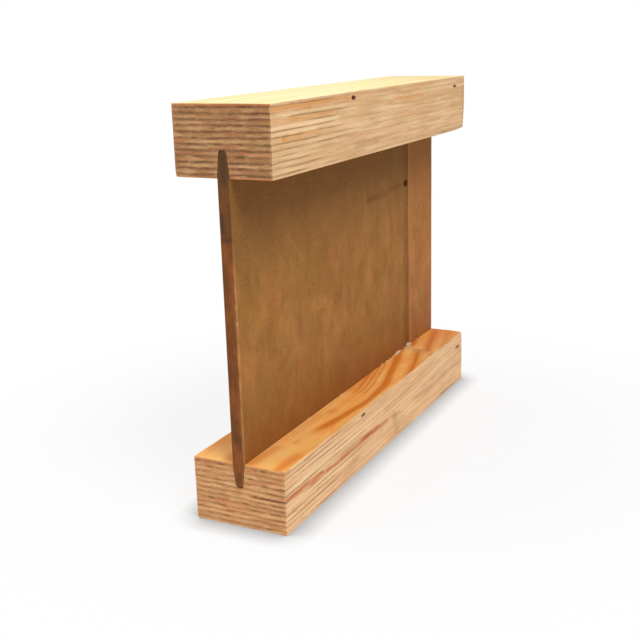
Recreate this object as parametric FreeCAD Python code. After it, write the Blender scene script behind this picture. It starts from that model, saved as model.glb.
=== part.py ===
import FreeCAD, Part
import os
from math import hypot

# Wooden I-joist, a short length of it standing on its bottom flange.
# Two flanges of laminated veneer lumber are glued along the tapered edges of a hardboard web.
# Frame: +X along the joist, +Y across it, +Z up, origin at the centre of the underside. Millimetres.

# Overall sizes
joist_length = 300.0
joist_depth = 240.0

# Flanges, each a stack of flat veneers glued face to face, with the two outer ones sanded thinner
flange_width = 60.0
outer_veneer_thickness = 1.9
inner_veneer_thickness = 3.2
veneer_count = 13

# Web, in two panels end to end
web_thickness = 8.0
short_panel_length = 50.0
joint_v_depth = 4.0

# Tapered tongue on each long edge of the web, and the groove that takes it
tongue_depth = 15.0
tongue_tip_thickness = 4.7
groove_relief = 0.6
glue_line = 0.1

# Worked-out sizes
veneers_inside = veneer_count - 2
veneer_thicknesses = [outer_veneer_thickness, *[inner_veneer_thickness] * veneers_inside, outer_veneer_thickness]
flange_depth = sum(veneer_thicknesses)
tip_height = flange_depth - tongue_depth
web_half = web_thickness / 2
tip_half = tongue_tip_thickness / 2
near_end = -joist_length / 2
far_end = joist_length / 2
joint_x = far_end - short_panel_length


def prism_along_x(profile):
    """Solid as long as the joist, from its (y, z) outline."""
    points = [FreeCAD.Vector(near_end, y, z) for y, z in profile]
    face = Part.Face(Part.makePolygon(points + points[:1]))
    return face.extrude(FreeCAD.Vector(joist_length, 0, 0))


def prism_along_z(plan):
    """Solid as deep as the joist, from its (x, y) outline."""
    points = [FreeCAD.Vector(x, y, 0) for x, y in plan]
    face = Part.Face(Part.makePolygon(points + points[:1]))
    return face.extrude(FreeCAD.Vector(0, 0, joist_depth))


def turned_over(shape):
    """The same shape at the other flange."""
    return shape.mirror(FreeCAD.Vector(0, 0, joist_depth / 2), FreeCAD.Vector(0, 0, 1))


def flange_groove():
    """Groove in the bottom flange: the tongue's flanks, clear of them by the glue line."""
    slope = (web_half - tip_half) / tongue_depth
    clearance = glue_line * hypot(1, slope)
    floor_height = tip_height - groove_relief
    floor_half = tip_half - slope * groove_relief + clearance
    mouth_half = web_half + clearance
    return prism_along_x([
        (-floor_half, floor_height),
        (floor_half, floor_height),
        (mouth_half, flange_depth),
        (-mouth_half, flange_depth),
    ])


def flange_veneers():
    """Veneers of the bottom flange from its outer face inward, cut through by the groove."""
    groove = flange_groove()
    veneers = []
    for layer, thickness in enumerate(veneer_thicknesses):
        corner = FreeCAD.Vector(near_end, -flange_width / 2, sum(veneer_thicknesses[:layer]))
        sheet = Part.makeBox(joist_length, flange_width, thickness, corner)
        veneers.append(sheet.cut(groove))
    return veneers


def web_panels():
    """Long and short panel, meeting in a glued V joint."""
    blank = prism_along_x([
        (-tip_half, tip_height),
        (tip_half, tip_height),
        (web_half, flange_depth),
        (web_half, joist_depth - flange_depth),
        (tip_half, joist_depth - tip_height),
        (-tip_half, joist_depth - tip_height),
        (-web_half, joist_depth - flange_depth),
        (-web_half, flange_depth),
    ])
    joint_gap = glue_line * hypot(web_half, joint_v_depth) / web_half
    notch_x = joint_x + joint_gap
    long_panel = blank.common(prism_along_z([
        (near_end, -web_half),
        (joint_x, -web_half),
        (joint_x + joint_v_depth, 0),
        (joint_x, web_half),
        (near_end, web_half),
    ]))
    short_panel = blank.common(prism_along_z([
        (notch_x, -web_half),
        (far_end, -web_half),
        (far_end, web_half),
        (notch_x, web_half),
        (notch_x + joint_v_depth, 0),
    ]))
    return long_panel, short_panel


def joist_pieces():
    """Every piece of the joist by name."""
    long_panel, short_panel = web_panels()
    pieces = {"web_panel_long": long_panel, "web_panel_short": short_panel}
    for number, veneer in enumerate(flange_veneers(), start=1):
        pieces[f"bottom_flange_veneer_{number:02d}"] = veneer
        pieces[f"top_flange_veneer_{number:02d}"] = turned_over(veneer)
    return pieces


os.makedirs("parts", exist_ok=True)
for name, shape in joist_pieces().items():
    shape.exportStep(f"parts/{name}.step")
    print(f"{name}: {len(shape.Solids)} solid(s), {shape.Volume:.0f} mm3, valid {shape.isValid()}")
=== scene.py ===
import math

import bmesh
import bpy
from mathutils import Matrix, Vector, noise


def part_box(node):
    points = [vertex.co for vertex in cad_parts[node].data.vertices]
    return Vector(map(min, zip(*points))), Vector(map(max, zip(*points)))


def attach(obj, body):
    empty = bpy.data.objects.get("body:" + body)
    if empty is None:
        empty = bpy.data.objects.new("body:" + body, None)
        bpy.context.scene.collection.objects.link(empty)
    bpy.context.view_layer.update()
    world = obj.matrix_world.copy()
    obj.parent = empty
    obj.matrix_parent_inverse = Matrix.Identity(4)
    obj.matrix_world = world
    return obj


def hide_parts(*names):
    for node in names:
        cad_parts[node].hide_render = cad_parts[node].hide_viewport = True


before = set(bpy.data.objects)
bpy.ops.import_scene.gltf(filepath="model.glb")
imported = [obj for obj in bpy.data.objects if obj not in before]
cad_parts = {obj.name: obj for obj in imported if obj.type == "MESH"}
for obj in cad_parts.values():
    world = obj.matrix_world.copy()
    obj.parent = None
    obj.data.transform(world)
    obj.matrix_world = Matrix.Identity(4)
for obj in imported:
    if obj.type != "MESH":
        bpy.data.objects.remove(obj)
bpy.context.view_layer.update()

# --- Flange veneers ---------------------------------------------------------------------------
# Each flange is laminated veneer lumber: thirteen sheets peeled from a softwood log, laid with
# their grain along the joist, glued and hot pressed, then ripped to width and sawn to length.

mm = 0.001
veneer_count = 13
first_grooved = 9
half_length, half_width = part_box("bottom_flange_veneer_01")[1].xy
flange_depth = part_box("bottom_flange_veneer_13")[1].z
joist_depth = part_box("top_flange_veneer_01")[1].z
web_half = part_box("web_panel_long")[1].y
tip_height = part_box("web_panel_long")[0].z
tip_half = 2.35 * mm
tip_round = 1.6 * mm
glue_gap = 0.1 * mm

# how far in mm the glue lines wander, from slow swells to ragged ones, and step down at a lap
slow_swell, short_swell, raggedness = 0.24, 0.38, 0.07
lap_drop, lap_edge_drop = 0.8, 0.4

# how far in mm the sawn edges are sunk, the glue lines beyond them, and the arrises rounded, each
# with its spread
edge_sunk, edge_spread = 0.05, 0.04
glue_line_sunk, glue_line_spread = 0.09, 0.08
arris_radius, arris_spread = 0.42, 0.26

# cells of a veneer's grid
cells_along = 120
cells_across = 44
cells_across_strip = 20
cells_through = 4


def crowd(t, closeness=0.85):
    """Moves an even step t, 0 to 1, towards the ends, so that the cells there are small."""
    s = 2 * t - 1
    return ((1 - closeness) * s + closeness * math.sin(math.pi * s / 2) + 1) / 2


def smooth_step(t):
    t = min(max(t, 0.0), 1.0)
    return t * t * (3 - 2 * t)


def wander(x, y, z):
    """Smooth noise from -1 to 1 at a point given in cells of the noise."""
    return noise.noise(Vector((x, y, z)))


def flat_line(flange, line):
    """Height of the glue line inside veneer number line, as drawn. Line 0 is the outer face."""
    if line == 0:
        return 0.0 if flange == "bottom" else joist_depth
    low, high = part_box(f"{flange}_flange_veneer_{line:02d}")
    return high.z if flange == "bottom" else low.z


flat_lines = {
    flange: [flat_line(flange, line) for line in range(veneer_count + 1)]
    for flange in ("bottom", "top")
}


def line_height(flange, line, x, y):
    """Height of a glue line at a place: the sheets swell and thin out, and a lap steps some down."""
    level = flat_lines[flange][line]
    if line in (0, veneer_count):
        return level
    seed = line * 7.31 + (40.0 if flange == "top" else 0.0)
    slow = slow_swell * wander(x / (85 * mm), y / (45 * mm), seed)
    bowed = short_swell * wander(x / (45 * mm), y / (15 * mm), seed + 3.7)
    ragged = raggedness * wander(x / (14 * mm), y / (5 * mm), seed + 9.1)
    ease = 1.0 if 2 <= line <= veneer_count - 2 else 0.6
    lap = 0.0
    if flange == "bottom" and 5 <= line <= 8:
        reach = smooth_step((-5 * mm - y) / (3 * mm)) * smooth_step((-95 * mm - x) / (40 * mm))
        lap = -(lap_drop if line in (6, 7) else lap_edge_drop) * reach
    height = level + ((slow + bowed + ragged) * ease + lap) * mm
    if line == first_grooved - 1:
        under_tip = tip_height - glue_gap if flange == "bottom" else joist_depth - tip_height + glue_gap
        height += (under_tip - height) * (1 - smooth_step((abs(y) - 1.5 * mm) / (2.5 * mm)))
    return height


def web_half_at(z):
    """Half thickness of the web at a height, narrowing into the tongues, with rounded tips."""
    from_tip = min(z, joist_depth - z) - tip_height
    slope = (web_half - tip_half) / (flange_depth - tip_height)
    half = min(web_half, tip_half + slope * from_tip)
    if from_tip < tip_round:
        half -= tip_round - math.sqrt(max(tip_round ** 2 - (tip_round - from_tip) ** 2, 0.0))
    return half


worn_corners = [
    # corner (x, y, z), extra wear radius, reach
    ((half_length, -half_width, joist_depth - flange_depth), 2.6 * mm, 20 * mm),
    ((half_length, -half_width, flange_depth), 1.6 * mm, 9 * mm),
    ((-half_length, half_width, 0.0), 0.7 * mm, 5 * mm),
    ((-half_length, half_width, joist_depth - flange_depth), 0.9 * mm, 5 * mm),
    ((-half_length, -half_width, joist_depth), 0.5 * mm, 12 * mm),
    ((half_length, half_width, 0.0), 1.2 * mm, 12 * mm),
]


def wear_radius(point):
    """How far the arris is rounded off near a point."""
    radius = (arris_radius + arris_spread * wander(*(point / (9 * mm)))) * mm
    for corner, extra, reach in worn_corners:
        distance = (point - Vector(corner)).length
        radius += extra * (1 - smooth_step(distance / reach))
    return radius


def round_pair(inset_a, inset_b, radius):
    """Pulls a point near an arris, given by its depths under two faces, onto the rounded arris."""
    if inset_a >= radius or inset_b >= radius:
        return inset_a, inset_b
    away_a, away_b = radius - inset_a, radius - inset_b
    away = math.hypot(away_a, away_b)
    if away <= radius:
        return inset_a, inset_b
    return radius - away_a * radius / away, radius - away_b * radius / away


def ease_arrises(point, flange):
    """Rounds the outer arrises of a whole flange at one of its points."""
    low = 0.0 if flange == "bottom" else joist_depth - flange_depth
    centre = Vector((0, 0, low + flange_depth / 2))
    half = (half_length, half_width, flange_depth / 2)
    side = [math.copysign(1, c) for c in point - centre]
    inset = [half[i] - abs(point[i] - centre[i]) for i in range(3)]
    radius = wear_radius(point)
    for a, b in ((0, 1), (0, 2), (1, 2)):
        inset[a], inset[b] = round_pair(inset[a], inset[b], radius)
    return Vector([centre[i] + side[i] * (half[i] - inset[i]) for i in range(3)])


def cube_grid(bm, cells):
    """A unit cube cut into a grid, with cells[i] cells along axis i. Returns its vertices."""
    made = bmesh.ops.create_cube(bm, size=1)["verts"]
    bmesh.ops.translate(bm, verts=made, vec=(0.5, 0.5, 0.5))
    grid_edges = {e for v in made for e in v.link_edges}
    for axis in range(3):
        along = [e for e in grid_edges if abs(e.verts[0].co[axis] - e.verts[1].co[axis]) > 1e-6]
        cut = bmesh.ops.subdivide_edges(bm, edges=along, cuts=cells[axis] - 1, use_grid_fill=True)
        grid_edges |= {g for g in cut["geom"] if isinstance(g, bmesh.types.BMEdge)}
        grid_edges = {e for e in grid_edges if e.is_valid}
    return {v for e in grid_edges for v in e.verts}


# holes in the veneers' edges: flange, veneer, side, x, length, height, depth, darkness of the painted
# shade in the hole
edge_voids = [
    ("top", 2, -1, -49.5, 5.4, 2.4, 1.6, 1.0),
    ("top", 3, -1, 128.5, 7.0, 2.0, 1.0, 0.7),
    ("bottom", 12, -1, -43.5, 7.0, 2.0, 0.9, 0.65),
    ("bottom", 10, -1, 139.5, 9.0, 2.2, 0.8, 0.6),
    ("bottom", 5, 1, 62.0, 5.0, 2.0, 1.4, 0.9),
    ("top", 6, 1, -96.0, 6.5, 2.1, 1.4, 0.8),
    ("top", 10, 1, 41.0, 4.2, 2.0, 1.2, 0.7),
]

# marks in the wood by kind, flange and face, and some painted light and shade: one end, other end,
# half width and strength of each. "side" is the -Y long side (x, z), "end" is the near sawn end
# (y, z), and "ledge" and "deck" are the upper faces of the bottom and the top flange (x, y).
wood_marks_and_painted_light = {
    ("warm", "bottom", "side"): [
        (-150, 20.8, -112, 19.6, 2.8, 0.55), (-150, 22.2, -104, 20.8, 1.6, 1),
        (-118, 18.6, -98, 18.4, 2.4, 0.6), (-98, 18.8, -84, 18.4, 2.6, 0.8),
        (-84, 18.4, -60, 18.6, 2.8, 0.65), (-62, 18.6, -48, 19, 2.4, 0.8),
        (-48, 19.2, -20, 18.6, 3, 1), (-20, 18, -2, 17.4, 3, 0.6),
        (2, 18, 18, 17.2, 4.2, 0.4), (6, 28.4, 30, 27.6, 2.4, 0.3),
        (28, 27.8, 52, 27, 1.6, 0.3), (70, 27.4, 90, 27, 2.4, 0.25),
        (-150, 31.5, -120, 31, 1.4, 0.2), (95, 38.5, 140, 38.6, 1.2, 0.35),
    ],
    ("grey", "bottom", "side"): [
        (44, 16.6, 100, 14.8, 2.6, 0.4), (100, 16, 150, 15.4, 3, 0.5),
        (8, 16, 13, 5, 6, 0.45), (12, 1.6, 40, 1, 2.2, 0.4),
        (100, 1.6, 130, 1.2, 2.2, 0.5), (-63, 10.5, -52, 10.5, 1.4, 0.5),
        (-126, 36.4, -114, 36.4, 1.3, 0.7), (-150, 38, -144, 37.6, 1.6, 0.8),
        (-133, 2.5, -127, 1.5, 2, 0.5),
    ],
    ("pale", "bottom", "side"): [
        (-150, 26.6, -58, 26.2, 1.9, 0.8), (-150, 33.2, -90, 33, 1.2, 0.6),
        (-120, 12.5, -30, 12.5, 2.6, 0.4), (-150, 7, -90, 7, 1.3, 0.4),
    ],
    ("warm", "top", "side"): [
        (-150, 236.8, -56, 236.6, 2.8, 0.5), (-150, 230.4, -70, 230.2, 2.4, 0.5),
        (-138, 221, -118, 221, 2.6, 0.7), (-116, 221.6, -94, 221.4, 2.4, 0.5),
        (12, 231.8, 64, 230.4, 3.4, 0.42), (20, 219.2, 96, 219.2, 1.3, 0.3),
    ],
    ("grey", "top", "side"): [
        (-46, 208, -16, 208, 4.6, 0.45), (-150, 206, -100, 205, 4, 0.25),
        (-129, 238.4, -123, 238.2, 1.3, 0.9), (-108.5, 235.6, -105.5, 235.8, 1.2, 0.9),
        (-137, 222.8, -132, 222.6, 1, 0.8), (-121, 223, -116, 222.8, 1, 0.7),
        (-97, 222.8, -93, 222.4, 1.2, 0.9), (-23, 222.4, -19, 222.2, 1.2, 0.6),
        (36, 211, 41, 211, 1.6, 0.5), (16, 234, 42, 235, 0.9, 0.45),
        # the mark along x = 148 is painted shade on the rounded far vertical arris, which turns away
        # from the light
        (100, 202.4, 150, 203, 2, 0.55), (148, 205, 148, 232, 3, 0.5),
    ],
    ("pale", "top", "side"): [
        (-150, 227.2, -70, 227, 1.6, 1), (-150, 224, -66, 223.8, 0.9, 0.8),
        (-140, 233.6, -60, 233.4, 0.9, 0.7), (-110, 217.6, -40, 217, 1.2, 0.5),
    ],
    ("warm", "top", "end"): [
        (30, 239.8, -30, 239.8, 2.2, 1), (30, 200.6, 6, 200.6, 1.4, 0.7),
        (-6, 200.6, -30, 200.6, 1.8, 1), (28, 220.5, 23, 220.5, 2.4, 0.9),
        (5, 236.3, 2, 236.3, 1.6, 0.7), (-8, 225, -12, 225, 1.5, 0.6),
        (-14, 214, -29, 213.6, 1.2, 0.6), (24, 211.3, 14, 211.3, 1.2, 0.5),
        (-12, 201.6, -30, 201.8, 1.8, 0.7), (6, 209.3, 3, 209.3, 1.5, 0.6),
    ],
    ("grey", "top", "end"): [
        (-26, 222, -29, 216, 2.2, 0.5), (16.5, 226, 16.5, 221, 1, 0.5),
    ],
    ("pale", "top", "end"): [
        (10, 220.3, -14, 220, 1.1, 0.6), (-10, 208, -20, 207.6, 1, 0.6),
        # the second mark here, along y = -30, is a painted highlight on the near vertical arris
        (17, 207.4, 9, 208.2, 0.9, 0.5), (-30, 202, -30, 238, 1.6, 0.7),
    ],
    ("warm", "bottom", "end"): [
        (28, 13.6, -4, 13.4, 1.9, 0.6), (-2, 14.6, -6.5, 16.2, 1.2, 0.8),
        (28, 37, 4, 36.4, 2.6, 0.45), (-5, 36.2, -12, 36.8, 1.6, 0.6),
        (-24, 36.4, -29, 35.4, 1.8, 0.6), (11, 30, 5, 29.8, 1.6, 0.5),
        (-12, 29.6, -24, 30.4, 1.5, 0.4), (9, 8, 5, 8.6, 1.4, 0.5),
    ],
    ("grey", "bottom", "end"): [
        (26, 3.5, -24, 3.5, 4, 0.3),
    ],
    ("pale", "bottom", "end"): [
        (28, 26.4, 4, 26, 1, 0.7), (-5, 26.6, -20, 26.8, 1, 0.7),
        (-10, 19, -24, 18.8, 0.9, 1), (8, 32.6, 3, 32.8, 1, 0.8),
        # this mark along y = -30 is a painted highlight on the near vertical arris
        (-30, 1, -30, 37, 1.8, 0.9),
    ],
    ("pale", "bottom", "ledge"): [
        # painted light: the next two marks lighten the near end of the ledge, where most light comes
        # in, over a pale zone of the wood, and the one after lightens the +Y ledge at the near end,
        # where the web shades it
        (-144, -14, -116, -18, 9, 1), (-118, -22, -96, -22, 6, 0.6),
        (-150, 12, -132, 16, 12, 1),
    ],
    ("warm", "bottom", "ledge"): [
        (-150, -25, -126, -26, 5, 0.7), (-146, -6, -120, -8, 6, 0.7),
        (-96, -7, -64, -8, 6, 0.4), (-58, -12, -50, -12, 4, 0.4),
        (-150, 8, -140, 8, 7, 0.6), (-110, -15.5, -106, -15.5, 2.5, 0.5),
        # painted shade: the mark from (96, -4) to (106, -5) darkens the corner at the web's foot beside
        # the glue beads, and the next, broad one darkens the far end of the ledge, over a darker brown
        # band of its figure
        (-78, -20, -72, -21, 3.5, 0.4), (96, -4, 106, -5, 3.5, 1),
        (108, -16, 150, -14, 20, 0.6),
    ],
    ("grey", "bottom", "ledge"): [
        (94, -4, 84, -30, 8, 0.7), (108, -29, 142, -28, 3, 0.5),
    ],
    ("warm", "top", "deck"): [
        (120, -16, 150, 16, 70, 0.28), (20, -20, 60, -19, 5, 0.15),
        (70, 4, 110, 3, 4, 0.18),
    ],
}

# dark stretches of each flange's glue lines across the near end: (from y, to y, strength), and
# where the strength is under 0 the stretch is olive
dark_stretches = {
    "top": {
        1: [(22, 5, 0.6), (3, -5, 0.6), (-10, -19, 1.0), (-20, -29, 0.5)],
        2: [(26, 6, -0.5), (-5, -18, -0.6), (-18, -29, 0.9)],
        3: [(27, 5, 0.25), (-1, -12, 0.35), (-14, -28, 0.5)],
        4: [(28, 22, 0.6), (20, 12, 0.35), (5, -6, 0.5), (-10, -13, 0.9), (-16, -29, 0.6)],
        5: [(27, 19, 0.5), (17, 15.5, 1.0), (12, 5, 0.9), (5, -6, 0.4), (-15, -29, 0.55)],
        6: [(17, 16, 0.6), (9, -5, 0.5), (-14, -28, 0.45)],
        7: [(21, 18.5, -1.0), (17, 11, -0.7), (5, 1, -0.5), (-10, -13, 0.6), (-25, -29, -0.9)],
        8: [(27, 8, 0.5), (-7, -13, 0.5), (-13, -18, -1.0), (-25, -29, -0.7)],
        9: [(29, 26, 0.8), (17, 13, 0.8), (12, 5, 0.4), (-8.5, -13, -1.0), (-22, -28, 0.3)],
        10: [(28, 22, 0.6), (18, 12, -0.9), (11, 6, -0.6), (-4, -25, 0.65)],
        11: [(28, 24, 0.6), (21, 18, 0.6), (13, 9, 0.7), (-6, -16, 0.6), (-22, -29, -0.7)],
        12: [(18.5, 17, 0.8), (13, 12, 0.8), (-4, -12, 0.4), (-14, -29, -0.8)],
    },
    "bottom": {
        12: [(29, 26, 0.7), (14, 10, 0.9), (-10, -12, 0.6), (-14, -18, -0.8)],
        11: [(28, 25, 0.4), (21, 18, 0.6), (10, 8, 0.4), (-18, -28, 0.35)],
        10: [(25, 20, 0.3), (-6, -9, 0.9), (-18, -28, 0.25)],
        9: [(29, 24, 0.5), (18, 13, 0.6), (10, 5, 0.45), (-6, -8, 0.5), (-16, -18, 0.9),
            (-24, -29, 0.7)],
        8: [(24, 20, 0.6), (15, 11, 0.5), (6, 2, 0.3), (-17, -27, -0.6)],
        7: [(28, 14, 0.2), (-9, -11, 1.0), (-12, -18, 0.9), (-18, -30, 1.1)],
        6: [(28, 25, -0.5), (15, 8, 0.35), (3, 0, 0.3), (-12, -16, 0.5), (-21, -28, 0.6)],
        5: [(22, 18, 0.8), (12, 10, 0.5), (4, 1, 0.6), (-1, -6, 0.5), (-9, -29, 0.45)],
        4: [(15, 10, 0.7), (-7, -10, 0.5), (-20, -22, 0.8), (-23, -26, 0.7)],
        3: [(29, 26, 0.5), (10, 5, 0.3), (-18, -28, 0.55)],
        2: [(28, 20, 0.2), (12, 8, 0.4), (-5, -8, 0.2)],
        1: [(28, 20, 0.2), (-10, -14, 0.3), (-17, -20, 0.8)],
    },
}


def capsule(place, start, end, half_across):
    """1 along the line from start to end, falling smoothly to 0 at half_across from it."""
    point, first, run = Vector(place), Vector(start), Vector(end) - Vector(start)
    t = min(max((point - first).dot(run) / max(run.length_squared, 1e-9), 0.0), 1.0)
    return 1 - smooth_step((point - first - t * run).length / half_across)


def strongest(marks, key, outer):
    """Strength of the strongest mark at a point, given its place on each outer face it lies on."""
    best = 0.0
    for face, place in outer.items():
        for *ends, half_across, strength in marks.get((*key, face), []):
            best = max(best, strength * capsule(place, ends[:2], ends[2:], half_across))
    return best


def faces_at(x, y, z):
    """Which outer faces a point lies on, and its two coordinates there in mm."""
    close = 0.05 * mm
    found = {}
    if y < close - half_width:
        found["side"] = (x / mm, z / mm)
    if x < close - half_length:
        found["end"] = (y / mm, z / mm)
    if abs(z - flange_depth) < close:
        found["ledge"] = (x / mm, y / mm)
    if z > joist_depth - close:
        found["deck"] = (x / mm, y / mm)
    return found


def veneer_figure(flange, line, x, y):
    """Growth ring coordinate on a peeled face, in mm: its level lines are the figure."""
    seed = 11.0 * line + (70.0 if flange == "top" else 0.0)
    if flange == "bottom" and line == veneer_count:
        along, across = x / mm + 15, y / mm
        rise = 0.27 if along > 0 else 0.14
        crest = rise * (math.hypot(along, 20) - 20) - 27.5
        beyond = smooth_step((x / mm - 90 - 0.5 * (across + 17)) / 3)
        return across - crest + 7.0 * beyond + 1.0 * wander(x / (24 * mm), y / (9 * mm), seed)
    crest = 16 * wander(x / (120 * mm), y / (60 * mm), seed)
    return y / mm + crest + 2.0 * wander(x / (40 * mm), y / (12 * mm), seed + 5)


# what each vertex of a veneer tells the finishes
veneer_layers = ("glue_distance", "glue_dark", "olive", "warm", "pale", "grey", "hole_shade", "figure",
                 "figure_depth", "veneer_seed", "tone")


def mark_veneer(vert, layers, flange, number, through):
    """Writes what the finish needs to know at one vertex of a veneer."""
    x, y, z = vert.co
    lines = (number - 1, number)
    gaps = [abs(z - line_height(flange, line, x, y)) for line in lines]
    glued = [gap for gap, line in zip(gaps, lines) if line not in (0, veneer_count)]
    vert[layers["glue_distance"]] = min(glued) / mm
    line = lines[0] if through < 0.5 else lines[1]
    seed = line * 5.17 + (23.0 if flange == "top" else 0.0)
    dark = 0.22 + 0.5 * wander(x / (26 * mm), y / (6 * mm), seed)
    outer = faces_at(x, y, z)
    if "end" in outer:
        dark = 0.5 * dark
        for start, end, strength in dark_stretches[flange].get(line, []):
            here = abs(strength) * capsule((y / mm, 0), (start - 0.7, 0), (end + 0.7, 0), 2.0)
            if here > dark:
                dark = here
                vert[layers["olive"]] = 1.0 if strength < 0 else 0.0
    elif "side" in outer:
        patchy = smooth_step(0.45 + 1.3 * wander(x / (38 * mm), 3.0, seed))
        dark = 0.75 * patchy * (1 - 0.8 * smooth_step((x / mm + 110) / 80))
    vert[layers["glue_dark"]] = min(max(dark, 0.0), 1.0)
    for kind in ("warm", "pale", "grey"):
        vert[layers[kind]] = strongest(wood_marks_and_painted_light, (kind, flange), outer)
    vert[layers["figure"]] = veneer_figure(flange, lines[1] if through > 0.5 else lines[0], x, y)
    blurred = 0.0
    if "ledge" in outer:
        blurred = 1 - smooth_step((x / mm + 98) / 24)
        beyond_crest = smooth_step((vert[layers["figure"]] - 5) / 3)
        blurred = max(blurred, beyond_crest * (1 - smooth_step((x / mm + 24) / 16)))
    vert[layers["figure_depth"]] = 1 - 0.85 * blurred
    vert[layers["veneer_seed"]] = number * 3.7 + (60.0 if flange == "top" else 0.0)
    vert[layers["tone"]] = 1.0 if flange == "top" else 0.0


def shape_strip(verts, flange, number, side):
    """Bends a gridded cube to a veneer, or to its strip on one side of the groove (0 is whole).

    The groove slopes, so a strip's width and height are settled together, in two rounds."""
    throughs = {}
    for vert in verts:
        u, v, w = vert.co
        x = half_length * (2 * crowd(u) - 1)
        w = smooth_step(w)
        y = half_width * (2 * crowd(v) - 1) if side == 0 else side * half_width
        z = 0.0
        for _ in range(2):
            outer = line_height(flange, number - 1, x, y)
            inner = line_height(flange, number, x, y)
            z = outer + w * (inner - outer)
            if side:
                flank = web_half_at(z) + glue_gap
                y = side * (half_width - crowd(v) * (half_width - flank))
        vert.co = (x, y, z)
        throughs[vert] = w
    return throughs


def recess_edges(vert, flange, number, through):
    """Sinks a sawn edge a little: most at the glue lines, and differently in each veneer."""
    x, y, z = vert.co
    at_glue = through in (0.0, 1.0) and not (
        (number == 1 and through == 0.0) or (number == veneer_count and through == 1.0))
    line = number - 1 + round(through)
    key = line * 3.3 if at_glue else number * 5.9 + 50
    key += 31.0 if flange == "top" else 0.0
    depth = (edge_sunk + edge_spread * wander(x / (30 * mm), y / (12 * mm), key)) * mm
    if at_glue:
        depth += (glue_line_sunk + glue_line_spread * wander(x / (12 * mm), y / (5 * mm), key + 7)) * mm
    if abs(y) > half_width - 0.01 * mm:
        vert.co.y = math.copysign(half_width - depth, y)
    if abs(x) > half_length - 0.01 * mm:
        vert.co.x = math.copysign(half_length - 1.3 * depth, x)


def refine(bm, faces, cuts):
    """Cuts faces finer where a small hole is to be shaped."""
    edges = {e for f in faces for e in f.edges}
    bmesh.ops.subdivide_edges(bm, edges=list(edges), cuts=cuts, use_grid_fill=True)


def dig_voids(bm, layers, flange, number):
    """Cuts the holes that show in this veneer's edge."""
    for void_flange, void_number, side, x, length, height, depth, darkness in edge_voids:
        if (void_flange, void_number) != (flange, number):
            continue
        z = sum(line_height(flange, number - i, x * mm, side * half_width) for i in (0, 1)) / 2
        centre = Vector((x * mm, side * half_width, z))
        near = [
            f for f in bm.faces
            if abs(f.normal.y) > 0.8 and side * f.calc_center_median().y > half_width - 0.5 * mm
            and abs(f.calc_center_median().x - centre.x) < length * mm * 0.8
        ]
        refine(bm, near, 5)
        for vert in bm.verts:
            offset = vert.co - centre
            if side * vert.co.y < half_width - 0.5 * mm:
                continue
            ragged = 1 + 0.25 * wander(offset.x / (0.9 * mm), offset.z / (0.7 * mm), x)
            r = math.hypot(offset.x / (length * mm / 2), offset.z / (height * mm / 2)) * ragged
            if r < 1.6:
                vert.co.y -= side * depth * mm * (1 - smooth_step((r - 0.3) / 0.7))
                # painted shade in the hole, darkest in its middle
                vert[layers["hole_shade"]] = darkness * (1 - smooth_step((r - 0.4) / 1.1))


def new_piece(bm, name, finishes):
    """Object of a name from a bmesh, with its finishes in the order of their material numbers."""
    mesh = bpy.data.meshes.new(name)
    bm.to_mesh(mesh)
    bm.free()
    for finish in finishes:
        mesh.materials.append(finish)
    piece = bpy.data.objects.new(name, mesh)
    bpy.context.scene.collection.objects.link(piece)
    return piece


def colour(*screen):
    """A screen colour, 0 to 255, as the linear colour that a shader takes."""
    linear = [c / 255 / 12.92 if c <= 10 else ((c / 255 + 0.055) / 1.055) ** 2.4 for c in screen]
    return (*linear, 1.0)


def link(tree, source, socket):
    """Joins an output to a socket, or sets the socket where the source is a plain value."""
    if isinstance(source, bpy.types.NodeSocket):
        tree.links.new(source, socket)
    else:
        socket.default_value = source


def arithmetic(tree, operation, first, second=0.0):
    made = tree.nodes.new("ShaderNodeMath")
    made.operation = operation
    link(tree, first, made.inputs[0])
    link(tree, second, made.inputs[1])
    return made.outputs[0]


def product(tree, first, second):
    return arithmetic(tree, "MULTIPLY", first, second)


def between(tree, value, low, high, out_low=0.0, out_high=1.0):
    """Smooth change from out_low to out_high as value goes from low to high."""
    made = tree.nodes.new("ShaderNodeMapRange")
    made.interpolation_type = "SMOOTHSTEP"
    link(tree, value, made.inputs["Value"])
    limits = {"From Min": low, "From Max": high, "To Min": out_low, "To Max": out_high}
    for name, number in limits.items():
        made.inputs[name].default_value = number
    return made.outputs["Result"]


def stained(tree, amount, under, over):
    """Colour under with colour over laid on it."""
    made = tree.nodes.new("ShaderNodeMix")
    made.data_type = "RGBA"
    link(tree, amount, made.inputs[0])
    link(tree, under, made.inputs[6])
    link(tree, over, made.inputs[7])
    return made.outputs[2]


def washed(tree, under, value, low, high, over, strength=1.0):
    """Colour under with over laid on it more and more as value goes from low to high."""
    return stained(tree, between(tree, value, low, high, 0.0, strength), under, over)


def layered(tree, under, washes):
    """Colour under with washes laid on it in turn, each (value, low, high, over, strength)."""
    for wash in washes:
        under = washed(tree, under, *wash)
    return under


def toned(tree, under, amount, over, strength):
    """Colour under with over laid on it by amount times strength."""
    return stained(tree, product(tree, amount, strength), under, over)


def marked(tree, name):
    """What was written on the mesh under a name."""
    made = tree.nodes.new("ShaderNodeAttribute")
    made.attribute_name = name
    return made.outputs["Fac"]


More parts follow.
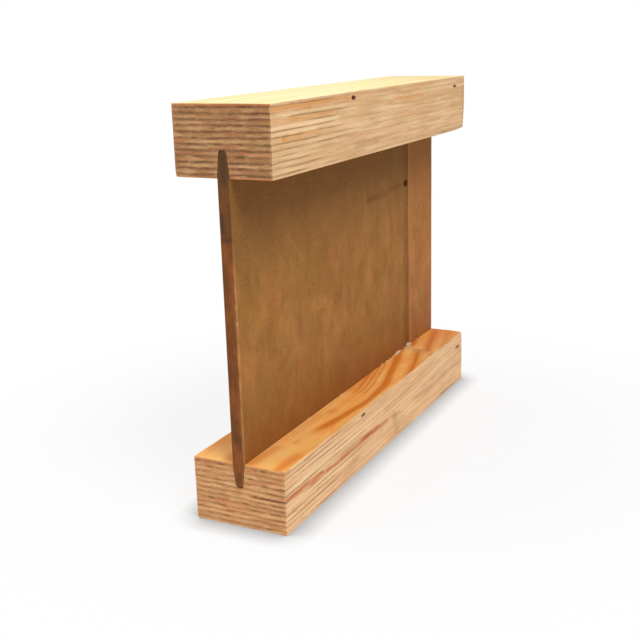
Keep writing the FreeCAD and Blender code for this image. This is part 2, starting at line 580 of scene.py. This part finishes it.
def stretched(tree, scale, seed=None):
    """Object coordinates in mm, times a scale on each axis, moved by a seed."""
    place = tree.nodes.new("ShaderNodeTexCoord").outputs["Object"]
    made = tree.nodes.new("ShaderNodeVectorMath")
    made.operation = "MULTIPLY"
    link(tree, place, made.inputs[0])
    made.inputs[1].default_value = [s / mm for s in scale]
    if seed is None:
        return made.outputs[0]
    moved = tree.nodes.new("ShaderNodeVectorMath")
    moved.operation = "ADD"
    link(tree, made.outputs[0], moved.inputs[0])
    link(tree, seed, moved.inputs[1])
    return moved.outputs[0]


def height_in_mm(tree):
    """Height above the floor."""
    made = tree.nodes.new("ShaderNodeSeparateXYZ")
    link(tree, stretched(tree, (1, 1, 1)), made.inputs[0])
    return made.outputs["Z"]


def grain(tree, scale, seed=None, detail=3.0, roughness=0.55, distortion=0.0):
    """Noise, about 0.2 to 0.8, with a scale per mm on each axis."""
    made = tree.nodes.new("ShaderNodeTexNoise")
    made.inputs["Scale"].default_value = 1.0
    made.inputs["Detail"].default_value = detail
    made.inputs["Roughness"].default_value = roughness
    made.inputs["Distortion"].default_value = distortion
    link(tree, stretched(tree, scale, seed), made.inputs["Vector"])
    return made.outputs["Fac"]


def new_finish(name, roughness, sheen=0.25):
    material = bpy.data.materials.new(name)
    material.use_nodes = True
    tree = material.node_tree
    surface = tree.nodes["Principled BSDF"]
    surface.inputs["Roughness"].default_value = roughness
    surface.inputs["Specular IOR Level"].default_value = sheen
    return material, tree, surface


def relief(tree, surface, height, depth):
    """Bump of a height from 0 to 1, depth in metres."""
    made = tree.nodes.new("ShaderNodeBump")
    made.inputs["Strength"].default_value = 1.0
    made.inputs["Distance"].default_value = depth
    link(tree, height, made.inputs["Height"])
    tree.links.new(made.outputs["Normal"], surface.inputs["Normal"])


def sawn_side_finish():
    """Ripped long side: pale edge grain in thin streaks, with brown glue lines between the sheets."""
    material, tree, surface = new_finish("veneer_sawn_side", 0.72)
    seed = marked(tree, "veneer_seed")
    tone = marked(tree, "tone")
    sheet = grain(tree, (0.009, 0.0, 0.0), seed, 2.0)
    broad = grain(tree, (0.014, 0.05, 0.35), seed)
    mottle = grain(tree, (0.024, 0.06, 0.16), None, 4.0, 0.6, 0.4)
    fine = grain(tree, (0.03, 0.4, 2.6), seed, 4.0, 0.6)
    light = stained(tree, tone, colour(246, 206, 158), colour(230, 194, 146))
    deep = stained(tree, tone, colour(232, 182, 134), colour(208, 166, 118))
    base = stained(tree, between(tree, broad, 0.36, 0.62), light, deep)
    base = layered(tree, base, [
        (sheet, 0.40, 0.60, colour(236, 182, 138), 0.3),
        (mottle, 0.46, 0.66, colour(206, 158, 108), 0.5),
        (mottle, 0.46, 0.32, colour(244, 208, 160), 0.4),
        (fine, 0.52, 0.68, colour(184, 138, 92), 0.45),
        (fine, 0.44, 0.32, colour(250, 220, 174), 0.45),
    ])
    base = toned(tree, base, marked(tree, "pale"), colour(250, 222, 176), 0.6)
    broken = between(tree, grain(tree, (0.06, 0.2, 0.5), seed), 0.34, 0.60)
    grey_left = between(tree, broken, 0.0, 1.0, 0.35, 0.8)
    # the grey marks include painted shade along the top flange's far vertical arris
    base = toned(tree, base, marked(tree, "grey"), colour(148, 116, 70), grey_left)
    warm_left = between(tree, broken, 0.0, 1.0, 0.45, 1.0)
    warm = product(tree, marked(tree, "warm"), warm_left)
    warm_colour = stained(tree, tone, colour(206, 130, 78), colour(216, 150, 84))
    base = washed(tree, base, warm, 0.0, 0.6, warm_colour)
    base = washed(tree, base, warm, 0.5, 1.0, colour(160, 88, 46), 0.8)
    checks = grain(tree, (0.12, 0.5, 1.8), seed, 2.0, 0.5)
    check = between(tree, checks, 0.66, 0.74)
    base = toned(tree, base, check, colour(142, 100, 60), 0.4)
    sway = product(tree, arithmetic(tree, "SUBTRACT", checks, 0.5), 0.7)
    frayed = arithmetic(tree, "ADD", marked(tree, "glue_distance"), sway)
    darkness = marked(tree, "glue_dark")
    near_glue = between(tree, frayed, 1.0, 0.1)
    near_dark = between(tree, darkness, 0.0, 0.4, 0.05, 0.5)
    base = toned(tree, base, near_glue, colour(186, 140, 92), near_dark)
    glue_dark = between(tree, darkness, 0.0, 0.8, 0.12, 1.0)
    glue = product(tree, between(tree, frayed, 0.6, 0.05), glue_dark)
    base = toned(tree, base, glue, colour(146, 104, 62), 0.7)
    # painted shade: a brown rim and a dark middle in each shallow hole, as shade in a deep gap between
    # the sheets
    base = washed(tree, base, marked(tree, "hole_shade"), 0.0, 0.5, colour(140, 94, 54))
    base = washed(tree, base, marked(tree, "hole_shade"), 0.45, 0.95, colour(88, 50, 27))
    link(tree, base, surface.inputs["Base Color"])
    height = arithmetic(tree, "SUBTRACT", fine, product(tree, glue, 0.5))
    height = arithmetic(tree, "SUBTRACT", height, product(tree, check, 0.6))
    relief(tree, surface, height, 0.12 * mm)
    return material


def sawn_end_finish():
    """Cross-cut end: brown end grain, darker towards each glue line, with broken dark stretches."""
    material, tree, surface = new_finish("veneer_sawn_end", 0.8)
    seed = marked(tree, "veneer_seed")
    tone = marked(tree, "tone")
    blotch = grain(tree, (0.05, 0.07, 0.25), seed)
    fibre = grain(tree, (0.3, 0.16, 1.3), seed, 4.0, 0.6)
    pores = grain(tree, (0.5, 2.6, 3.2), seed, 3.0, 0.6)
    light = stained(tree, tone, colour(236, 182, 126), colour(202, 156, 108))
    deep = stained(tree, tone, colour(214, 150, 96), colour(172, 120, 76))
    wood = stained(tree, between(tree, blotch, 0.38, 0.62), light, deep)
    wood = layered(tree, wood, [
        (fibre, 0.48, 0.68, colour(160, 110, 70), 0.5),
        (fibre, 0.44, 0.30, colour(232, 186, 138), 0.4),
        (pores, 0.52, 0.72, colour(140, 92, 56), 0.25),
    ])
    # the pale marks include a painted highlight along the near vertical arris, at y = -30
    wood = toned(tree, wood, marked(tree, "pale"), colour(240, 192, 132), 0.65)
    wood = toned(tree, wood, marked(tree, "warm"), colour(206, 120, 70), 0.75)
    wood = toned(tree, wood, marked(tree, "grey"), colour(140, 112, 76), 0.6)
    sway = product(tree, arithmetic(tree, "SUBTRACT", fibre, 0.5), 1.1)
    from_glue = arithmetic(tree, "ADD", marked(tree, "glue_distance"), sway)
    shade = between(tree, from_glue, 1.35, 0.25)
    shade_colour = stained(tree, tone, colour(158, 106, 68), colour(136, 92, 60))
    patchy = grain(tree, (0.3, 0.13, 0.35), seed)
    uneven = between(tree, patchy, 0.36, 0.60, 0.2, 0.8)
    uneven = product(tree, uneven, between(tree, tone, 0.0, 1.0, 0.7, 1.0))
    wood = toned(tree, wood, shade, shade_colour, uneven)
    core = between(tree, from_glue, 1.0, 0.2)
    core = product(tree, core, marked(tree, "glue_dark"))
    dark = stained(tree, marked(tree, "olive"), colour(98, 58, 42), colour(92, 80, 42))
    wood = toned(tree, wood, core, dark, 0.8)
    crumbly = grain(tree, (0.9, 0.9, 1.6), seed, 3.0, 0.7)
    fleck = grain(tree, (0.2, 0.16, 0.5), seed, 2.0)
    wood = layered(tree, wood, [
        (crumbly, 0.54, 0.70, colour(112, 74, 48), 0.45),
        (crumbly, 0.44, 0.30, colour(228, 188, 142), 0.35),
        (fleck, 0.62, 0.72, colour(204, 110, 74), 0.45),
        (fleck, 0.38, 0.30, colour(164, 140, 80), 0.4),
    ])
    link(tree, wood, surface.inputs["Base Color"])
    height = arithmetic(tree, "SUBTRACT", pores, product(tree, core, 0.6))
    relief(tree, surface, height, 0.15 * mm)
    return material


def peeled_face_finish(name, pale, middle, patch, deep, figure):
    """Broad peeled face: growth figure that follows the sheet, under a fine straight grain.

    figure is a list of (ring coordinate in mm, how deep in colour from 0 to 1)."""
    material, tree, surface = new_finish(name, 0.62, 0.15)
    seed = marked(tree, "veneer_seed")
    fine = grain(tree, (0.02, 1.3, 0.5), seed, 4.0, 0.6)
    cloud = grain(tree, (0.014, 0.06, 0.2), seed)
    reach = figure[-1][0] - figure[0][0]
    ring = product(tree, arithmetic(tree, "SUBTRACT", cloud, 0.5), 4.0)
    ring = arithmetic(tree, "ADD", ring, marked(tree, "figure"))
    ring = arithmetic(tree, "SUBTRACT", ring, figure[0][0])
    ring = arithmetic(tree, "FRACT", arithmetic(tree, "DIVIDE", ring, reach))
    ramp = tree.nodes.new("ShaderNodeValToRGB")
    ramp.color_ramp.interpolation = "EASE"
    stops = ramp.color_ramp.elements
    while len(stops) < len(figure):
        stops.new(0.5)
    for stop, (place, depth) in zip(stops, figure):
        stop.position = (place - figure[0][0]) / reach
        stop.color = (depth, depth, depth, 1.0)
    link(tree, ring, ramp.inputs["Fac"])
    base = stained(tree, between(tree, cloud, 0.35, 0.62), pale, middle)
    patches = grain(tree, (0.035, 0.10, 0.2), seed)
    base = washed(tree, base, patches, 0.50, 0.66, patch, 0.45)
    ringed = product(tree, ramp.outputs["Color"], marked(tree, "figure_depth"))
    base = stained(tree, ringed, base, deep)
    base = washed(tree, base, fine, 0.48, 0.70, deep, 0.3)
    # the pale marks on the ledge are painted light at its near end and on the +Y side by the web
    base = toned(tree, base, marked(tree, "pale"), pale, 0.8)
    # the warm marks on the ledge include painted shade at its far end and in the corner at the web's
    # foot by the joint
    base = toned(tree, base, marked(tree, "warm"), colour(214, 116, 46), 0.7)
    base = toned(tree, base, marked(tree, "grey"), colour(212, 156, 108), 0.7)
    link(tree, base, surface.inputs["Base Color"])
    relief(tree, surface, fine, 0.06 * mm)
    return material


wide_figure = [
    (0, 0.1), (3, 0.85), (6, 0.1), (11, 0.7), (14, 0.2), (18, 0.6), (22, 0.1), (29, 0.8),
    (33, 0.1), (38, 0.5), (42, 0.1), (50, 0.7), (53, 0.2), (58, 0.5), (64, 0.1),
]
ledge_figure = [
    (-30, 0.2), (-24, 0.6), (-19, 0.15), (-16, 0.4), (-12.5, 1.0), (-9, 0.4), (-6.5, 0.0),
    (-2.5, 0.05), (0.5, 0.9), (2.8, 1.0), (5.5, 0.15), (8, 0.0), (10, 0.7), (11.5, 0.1),
    (13.5, 0.8), (15.2, 0.2), (17.2, 0.9), (19.5, 0.3), (23, 0.7), (32, 0.2),
]
sawn_side = sawn_side_finish()
sawn_end = sawn_end_finish()
inner_face = peeled_face_finish("veneer_inner_face", colour(252, 186, 110), colour(234, 160, 80),
                                colour(228, 140, 70), colour(206, 118, 42), wide_figure)
ledge_face = peeled_face_finish("veneer_ledge_face", colour(255, 201, 122), colour(255, 182, 94),
                                colour(250, 152, 76), colour(218, 124, 40), ledge_figure)
# painted light: the outer face, which shows as the top of the top flange, is the inner faces' wood
# painted near white, as it looks under strong light
outer_face_painted_light = peeled_face_finish("veneer_outer_face_painted_light", colour(255, 251, 204), colour(255, 243, 184),
                                colour(255, 236, 170), colour(248, 222, 152), wide_figure)


def make_veneer(flange, number):
    name = f"{flange}_flange_veneer_{number:02d}"
    bm = bmesh.new()
    layers = {layer: bm.verts.layers.float.new(layer) for layer in veneer_layers}
    for side in (-1, 1) if number >= first_grooved else (0,):
        across = cells_across_strip if side else cells_across
        verts = cube_grid(bm, (cells_along, across, cells_through))
        bm.normal_update()
        for face in {f for v in verts for f in v.link_faces}:
            axis = max(range(3), key=lambda i: abs(face.normal[i]))
            # 0 is the broad faces, 1 the long sides and 2 the ends
            face.material_index = 2 - axis
        for vert, through in shape_strip(verts, flange, number, side).items():
            mark_veneer(vert, layers, flange, number, through)
            recess_edges(vert, flange, number, through)
            vert.co = ease_arrises(vert.co, flange)
    bmesh.ops.recalc_face_normals(bm, faces=bm.faces)
    dig_voids(bm, layers, flange, number)
    broad_face = {1: outer_face_painted_light, veneer_count: ledge_face if flange == "bottom" else inner_face}
    finishes = (broad_face.get(number, inner_face), sawn_side, sawn_end)
    sheet = new_piece(bm, name + "_sheet", finishes)
    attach(sheet, "root")
    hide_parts(name)


for flange_name in ("bottom", "top"):
    for veneer_number in range(1, veneer_count + 1):
        make_veneer(flange_name, veneer_number)

# --- Web panels -------------------------------------------------------------------------------
# The web is 8 mm hardboard, wood fibre pressed hot on a wire screen, so one face is smooth and the
# other keeps the screen's weave. Two panels are glued end to end in a V, screen side to smooth side,
# and their long edges are cut to tapered tongues and glued into the flanges' grooves.

joint_v_depth = 4 * mm
tongue_cells = 8
height_cells = 100


def web_height(t):
    """Height of a row of the web's grid: short rows in the tongues, even ones between."""
    row = t * height_cells
    mouth = flange_depth
    if row <= tongue_cells:
        return tip_height + (mouth - tip_height) * row / tongue_cells
    if row >= height_cells - tongue_cells:
        return joist_depth - web_height(1 - t)
    middle = (row - tongue_cells) / (height_cells - 2 * tongue_cells)
    return mouth + (joist_depth - 2 * mouth) * middle


# stains on the web by panel and face, as the marks in the wood
web_stains = {
    ("long", "side"): [
        (26, 162.5, 38, 163, 3.6, 0.5), (38, 163, 62, 162.5, 4.2, 0.35),
        (62, 165, 86, 165.5, 3.6, 0.35), (99, 41, 99, 200, 13, 0.4),
        (95, 44, 95, 56, 8, 0.35), (94, 104, 96, 150, 7, 0.35),
        (36, 105, 40, 105, 4, 0.25),
    ],
    ("long", "back"): [(-80, 90, -40, 96, 12, 0.3)],
    ("short", "back"): [(128, 140, 120, 146, 9, 0.3)],
    ("long", "end"): [
        (2.6, 182, 2.6, 172, 2.2, 0.9), (-3, 168.5, 3, 168.5, 2.2, 0.7),
        (0, 54, 2, 52, 3, 0.5), (0, 200, 0, 214, 5, 0.6),
    ],
}
# pale nicks on the near arris: height, reach
pale_nicks = [(121.5, 2.2), (150, 1.6), (146, 1.4), (88, 1.4), (63, 1.6), (132, 1.2)]
chip_x, chip_z = 95.8 * mm, 165.2 * mm
chip_length, chip_height, chip_depth = 9.0 * mm, 6.0 * mm, 1.5 * mm
# in mm: how far the face is sunk, its spread, more of it by the joint, and its sawn arris's radius
face_sunk, face_spread, joint_sunk = 0.05, 0.04, 0.06
web_arris, web_arris_spread = 0.45, 0.3
web_layers = ("stain", "arris", "hole_shade")


def web_finish(name, light, dark, top_painted_shade, top_painted_shade_amount, bottom_painted_shade_amount, screen):
    """Pressed hardboard face: brown fibre mottle, painted shade by the flanges, and the wire screen's
    weave on the screen side.
    """
    material, tree, surface = new_finish(name, 0.72 if screen else 0.6, 0.06)
    cloud = grain(tree, (0.03, 0.03, 0.03), None, 3.0, 0.6)
    mottle = grain(tree, (0.085, 0.2, 0.05), None, 4.0, 0.6, 0.5)
    tint = grain(tree, (0.06, 0.2, 0.04))
    fibre = grain(tree, (0.5, 0.9, 0.9), None, 3.0, 0.6, 0.6)
    base = stained(tree, between(tree, cloud, 0.34, 0.66, 0.0, 0.45), light, dark)
    height_up = height_in_mm(tree)
    base = layered(tree, base, [
        (mottle, 0.46, 0.66, dark, 0.55),
        (tint, 0.50, 0.64, colour(172, 108, 64), 0.35),
        (tint, 0.46, 0.34, colour(154, 110, 48), 0.3),
        (mottle, 0.44, 0.34, colour(186, 126, 68), 0.45),
        # painted shade: darker towards the bottom flange and, more, under the top flange, where the
        # flanges shade the web
        (height_up, 85.0, 41.0, colour(136, 82, 36), bottom_painted_shade_amount),
        (height_up, 116.0, 192.0, top_painted_shade, top_painted_shade_amount),
        (fibre, 0.55, 0.72, colour(104, 66, 32), 0.22),
        (fibre, 0.42, 0.30, colour(190, 134, 76), 0.22),
    ])
    base = stained(tree, marked(tree, "stain"), base, colour(96, 58, 22))
    # the arris marks are pale nicks and torn fibre, with painted highlights at the joint and the near
    # end
    base = toned(tree, base, marked(tree, "arris"), colour(214, 160, 104), 0.8)
    # painted shade in the holes, over the darker fibre a chip lays bare
    base = washed(tree, base, marked(tree, "hole_shade"), 0.1, 0.9, colour(70, 42, 18))
    height = fibre
    if screen:
        waves = []
        for axis in ("X", "Z"):
            wave = tree.nodes.new("ShaderNodeTexWave")
            wave.bands_direction = axis
            wave.inputs["Scale"].default_value = 0.22
            wave.inputs["Distortion"].default_value = 0.4
            link(tree, stretched(tree, (1, 1, 1)), wave.inputs["Vector"])
            waves.append(wave.outputs["Fac"])
        weave = product(tree, *waves)
        base = toned(tree, base, weave, colour(84, 52, 30), 0.14)
        height = arithmetic(tree, "SUBTRACT", fibre, weave)
    link(tree, base, surface.inputs["Base Color"])
    relief(tree, surface, height, 0.1 * mm)
    return material


def cut_hardboard_finish():
    """Sawn edge of hardboard: dense dark red-brown fibre in flat layers, darker towards the top."""
    material, tree, surface = new_finish("hardboard_cut_edge", 0.75, 0.2)
    layers = grain(tree, (0.1, 1.6, 0.04))
    blotch = grain(tree, (0.08, 0.12, 0.06), None, 4.0, 0.6)
    base = stained(tree, between(tree, blotch, 0.36, 0.62), colour(146, 83, 36), colour(114, 67, 30))
    base = washed(tree, base, layers, 0.42, 0.66, colour(96, 54, 24), 0.5)
    base = washed(tree, base, height_in_mm(tree), 150.0, 205.0, colour(94, 67, 35), 0.7)
    base = stained(tree, marked(tree, "stain"), base, colour(66, 48, 30))
    # the pale arris, partly a painted highlight, reaches round the sawn end's corner
    base = toned(tree, base, marked(tree, "arris"), colour(186, 128, 80), 0.7)
    link(tree, base, surface.inputs["Base Color"])
    relief(tree, surface, blotch, 0.15 * mm)
    return material


# after the light and dark colours: the colour and strength of the painted shade under the top flange,
# and the strength of the painted shade above the bottom flange
screen_face = web_finish("hardboard_screen_face", colour(169, 117, 62), colour(139, 92, 45),
                         colour(114, 82, 42), 0.75, 0.65, True)
smooth_face = web_finish("hardboard_smooth_face", colour(176, 117, 61), colour(152, 94, 45),
                         colour(136, 86, 38), 0.75, 0.35, False)
cut_edge = cut_hardboard_finish()


def web_face_sunk(panel, x, z, side):
    """How far the web's face lies under the flat one: it is uneven, and rounded at the sawn end."""
    sunk = (face_sunk + face_spread * wander(x / (25 * mm), z / (25 * mm), side * 9)) * mm
    if panel == "long":
        sunk += joint_sunk * mm * smooth_step((x - 70 * mm) / (25 * mm))
    radius = (web_arris + web_arris_spread * wander(x / (6 * mm), z / (6 * mm), side * 4)) * mm
    from_end = abs(x - (-half_length if panel == "long" else half_length))
    if from_end < radius:
        sunk += radius - math.sqrt(max(radius ** 2 - (radius - from_end) ** 2, 0.0))
    return sunk


def pale_arris_and_painted_highlight(panel, x, z):
    """How pale the -Y face is at its arris: by the joint on one panel, at the near end on the other."""
    if panel == "short":
        # painted highlight on the short panel's lip beside the joint
        return 0.12 * (1 - smooth_step((x / mm - 101) / 10))
    if x + half_length >= 1.2 * mm:
        return 0.0
    # pale torn fibre and a painted highlight on the rounded arris, fading out above 175 mm in the top
    # flange's shade
    burr_and_highlight = 0.45 * smooth_step((175 * mm - z) / (30 * mm)) * (0.6 + wander(0, z / (9 * mm), 2.0))
    for nick, reach in pale_nicks:
        burr_and_highlight = max(burr_and_highlight, 1 - smooth_step(abs(z / mm - nick) / reach))
    return min(max(burr_and_highlight, 0.0), 1.0)


def break_chip(bm, layers):
    """Breaks a chip out of the web's -Y face beside the joint."""
    near = []
    for face in bm.faces:
        middle = face.calc_center_median()
        beside = abs(middle.x - chip_x) < chip_length and abs(middle.z - chip_z) < chip_height
        if face.normal.y < -0.8 and beside:
            near.append(face)
    refine(bm, near, 3)
    for vert in bm.verts:
        dx, dz = vert.co.x - chip_x, vert.co.z - chip_z
        if vert.co.y > -web_half * 0.8:
            continue
        ragged = 1 + 0.3 * wander(dx / (1.5 * mm), dz / (1.5 * mm), 3.0)
        narrowing = 1 + 0.6 * max(dz, 0.0) / chip_height
        r = math.hypot(dx * narrowing / (chip_length / 2), dz / (chip_height / 2)) * ragged
        if r < 1.5:
            vert.co.y += chip_depth * (1 - smooth_step((r - 0.3) / 0.7))
            # painted shade in the chip's hollow, over the darker fibre it lays bare
            vert[layers["hole_shade"]] = 1 - smooth_step((r - 0.4) / 0.9)


def shape_board(verts, layers, panel, low, high):
    """Bends a gridded cube to a web panel, and writes what its finish needs to know."""
    for vert in verts:
        u, v, w = vert.co
        z = web_height(w)
        half = web_half_at(z)
        y = half * (2 * v - 1)
        point_in = joint_v_depth * (1 - abs(y) / web_half)
        start = low.x if panel == "long" else low.x + point_in
        end = high.x - joint_v_depth + point_in if panel == "long" else high.x
        x = start + crowd(u, 0.8) * (end - start)
        outer = {}
        if u == 0.0:
            outer["end"] = (y / mm, z / mm)
        if v in (0.0, 1.0):
            side = math.copysign(1, y)
            outer["side" if side < 0 else "back"] = (x / mm, z / mm)
            y -= side * web_face_sunk(panel, x, z, side)
            if side < 0:
                vert[layers["arris"]] = pale_arris_and_painted_highlight(panel, x, z)
        vert[layers["stain"]] = strongest(web_stains, (panel,), outer)
        vert.co = (x, y, z)


def make_web_panel(panel, cells_long):
    name = f"web_panel_{panel}"
    bm = bmesh.new()
    layers = {layer: bm.verts.layers.float.new(layer) for layer in web_layers}
    verts = cube_grid(bm, (cells_long, 4, height_cells))
    bm.normal_update()
    for face in bm.faces:
        axis = max(range(3), key=lambda i: abs(face.normal[i]))
        up = face.calc_center_median().z * height_cells
        in_tongue = up < tongue_cells or up > height_cells - tongue_cells
        # 0 is the screen side, 1 the smooth side and 2 what is cut
        if axis != 1 or in_tongue:
            face.material_index = 2
        else:
            screen_side = (face.normal.y < 0) == (panel == "long")
            face.material_index = 0 if screen_side else 1
    shape_board(verts, layers, panel, *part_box(name))
    bmesh.ops.recalc_face_normals(bm, faces=bm.faces)
    if panel == "long":
        break_chip(bm, layers)
    board = new_piece(bm, name + "_board", (screen_face, smooth_face, cut_edge))
    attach(board, "root")
    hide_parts(name)


make_web_panel("long", 110)
make_web_panel("short", 30)

# --- Glue squeeze-out -------------------------------------------------------------------------
# Wood glue pressed out of the groove when the web was driven home. It set hard in the corner on the
# bottom flange as two pale lumps beside the joint between the panels, with a few crumbs round them.

glue_sunk = 0.15 * mm
# beads of glue: x, length, how far out from the web, how far up from the flange
glue_beads = [
    (77.0, 11.0, 1.5, 1.7), (97.8, 7.0, 2.2, 2.4), (91.0, 3.2, 0.9, 0.8),
    (103.4, 2.6, 0.9, 1.0), (84.5, 2.2, 0.7, 0.6), (68.6, 2.6, 0.6, 0.7),
    (62.5, 1.8, 0.6, 0.5), (55.4, 2.4, 0.8, 0.6), (48.0, 1.6, 0.5, 0.5),
    (116.0, 1.8, 0.5, 0.5), (-22.0, 1.9, 0.5, 0.4), (-71.0, 1.5, 0.4, 0.4),
]


def glue_finish():
    """Set glue: cream to pinkish, waxy, with a dull skin."""
    material, tree, surface = new_finish("set_glue", 0.42, 0.4)
    cloud = grain(tree, (0.25, 0.4, 0.4))
    skin = grain(tree, (1.6, 1.6, 1.6), None, 3.0, 0.6)
    base = stained(tree, between(tree, cloud, 0.40, 0.60), colour(206, 186, 148), colour(206, 160, 128))
    base = washed(tree, base, skin, 0.50, 0.68, colour(178, 142, 106), 0.4)
    link(tree, base, surface.inputs["Base Color"])
    relief(tree, surface, skin, 0.15 * mm)
    return material


def add_bead(beads, bead_x, length, out, up):
    """Adds one lump, cut off flat where it sits on the web and on the flange."""
    lump = bmesh.new()
    bmesh.ops.create_icosphere(lump, subdivisions=4, radius=1.0)
    for vert in lump.verts:
        x, y, z = vert.co
        swell = 1 + 0.22 * wander(x * length / 4 + bead_x, y * 1.5, z * 1.5)
        swell += 0.08 * wander(x * length / 1.5, y * 3, z * 3 + bead_x)
        along, across, height = x * length / 2, y * out, z * up
        vert.co = (
            (bead_x + swell * along) * mm,
            -web_half - swell * across * mm,
            flange_depth + swell * height * mm,
        )
    on_web = (0, glue_sunk - web_half, 0), (0, 1, 0)
    on_flange = (0, 0, flange_depth - glue_sunk), (0, 0, -1)
    for place, away in (on_web, on_flange):
        whole = lump.verts[:] + lump.edges[:] + lump.faces[:]
        cut = bmesh.ops.bisect_plane(lump, geom=whole, plane_co=place, plane_no=away, clear_outer=True)
        rim = [g for g in cut["geom_cut"] if isinstance(g, bmesh.types.BMEdge)]
        bmesh.ops.holes_fill(lump, edges=rim)
    bmesh.ops.recalc_face_normals(lump, faces=lump.faces)
    bead_mesh = bpy.data.meshes.new("glue_bead")
    lump.to_mesh(bead_mesh)
    lump.free()
    beads.from_mesh(bead_mesh)
    bpy.data.meshes.remove(bead_mesh)


all_beads = bmesh.new()
for bead in glue_beads:
    add_bead(all_beads, *bead)
squeeze_out = new_piece(all_beads, "glue_squeeze_out", (glue_finish(),))
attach(squeeze_out, "root")

# --- Stand, light and camera ------------------------------------------------------------------
# A white table in a white room, with a large softbox in front at the left and a weaker one behind.
# The table looks white a little way off, and shows the object's shadow and the dark where it stands.

table_radius = 6.0
contact_reach = 18 * mm
contact_strength = 1.25
room_light = 0.5
lit_point = (0.0, 0.0, 0.12)
camera_place = Vector((-0.607877, -0.287791, 0.272674))
camera_lens, sensor_width = 57.59, 36.0
heading, tilt, roll = math.radians(63.02), math.radians(15.57), math.radians(1.65)


def seen_directly(tree):
    """1 for what the camera, a mirror or glass sees, 0 for light on its way to the object."""
    path = tree.nodes.new("ShaderNodeLightPath")
    direct = arithmetic(tree, "MAXIMUM", path.outputs["Is Camera Ray"], path.outputs["Is Glossy Ray"])
    return arithmetic(tree, "MAXIMUM", direct, path.outputs["Is Transmission Ray"])


def table_finish():
    """Matt white that the camera sees lit near the object and as plain white farther off."""
    material, tree, surface = new_finish("table_white", 0.9, 0.1)
    surface.inputs["Base Color"].default_value = (0.9, 0.9, 0.9, 1)
    from_middle = tree.nodes.new("ShaderNodeVectorMath")
    from_middle.operation = "LENGTH"
    link(tree, tree.nodes.new("ShaderNodeTexCoord").outputs["Object"], from_middle.inputs[0])
    bleached = between(tree, from_middle.outputs["Value"], 0.12, 0.34, 0.82, 1.0)
    contact = tree.nodes.new("ShaderNodeAmbientOcclusion")
    contact.samples = 8
    contact.inputs["Distance"].default_value = contact_reach
    white = tree.nodes.new("ShaderNodeEmission")
    open_to_light = arithmetic(tree, "POWER", contact.outputs["AO"], contact_strength)
    link(tree, open_to_light, white.inputs["Strength"])
    lit = tree.nodes.new("ShaderNodeMixShader")
    link(tree, product(tree, seen_directly(tree), bleached), lit.inputs[0])
    tree.links.new(surface.outputs[0], lit.inputs[1])
    tree.links.new(white.outputs[0], lit.inputs[2])
    tree.links.new(lit.outputs[0], tree.nodes["Material Output"].inputs["Surface"])
    return material


table = bmesh.new()
bmesh.ops.create_circle(table, cap_ends=True, radius=table_radius, segments=96)
table_top = new_piece(table, "white_table", (table_finish(),))

world = bpy.data.worlds.new("soft_room")
bpy.context.scene.world = world
world.use_nodes = True
tree = world.node_tree
room = tree.nodes["Background"]
seen_extra = product(tree, seen_directly(tree), 1.0 - room_light)
link(tree, arithmetic(tree, "ADD", seen_extra, room_light), room.inputs["Strength"])
room.inputs["Color"].default_value = (1, 1, 1, 1)


def softbox(name, place, size, power):
    """A square lamp turned to the middle of the object."""
    lamp = bpy.data.lights.new(name, "AREA")
    lamp.shape = "SQUARE"
    lamp.size = size
    lamp.energy = power
    holder = bpy.data.objects.new(name, lamp)
    holder.location = place
    holder.rotation_euler = (Vector(lit_point) - Vector(place)).to_track_quat("-Z", "Y").to_euler()
    bpy.context.scene.collection.objects.link(holder)


softbox("key_softbox", (-0.80, -1.27, 1.85), size=1.0, power=28.0)
softbox("fill_softbox", (-0.70, 1.40, 1.50), size=1.2, power=11.0)

camera_data = bpy.data.cameras.new("camera")
camera_data.sensor_width = sensor_width
camera_data.lens = camera_lens
camera = bpy.data.objects.new("camera", camera_data)
bpy.context.scene.collection.objects.link(camera)
camera.matrix_world = (
    Matrix.Translation(camera_place)
    @ Matrix.Rotation(-heading, 4, "Z")
    @ Matrix.Rotation(math.pi / 2 - tilt, 4, "X")
    @ Matrix.Rotation(-roll, 4, "Z")
)
bpy.context.scene.camera = camera
bpy.context.scene.view_settings.view_transform = "Standard"
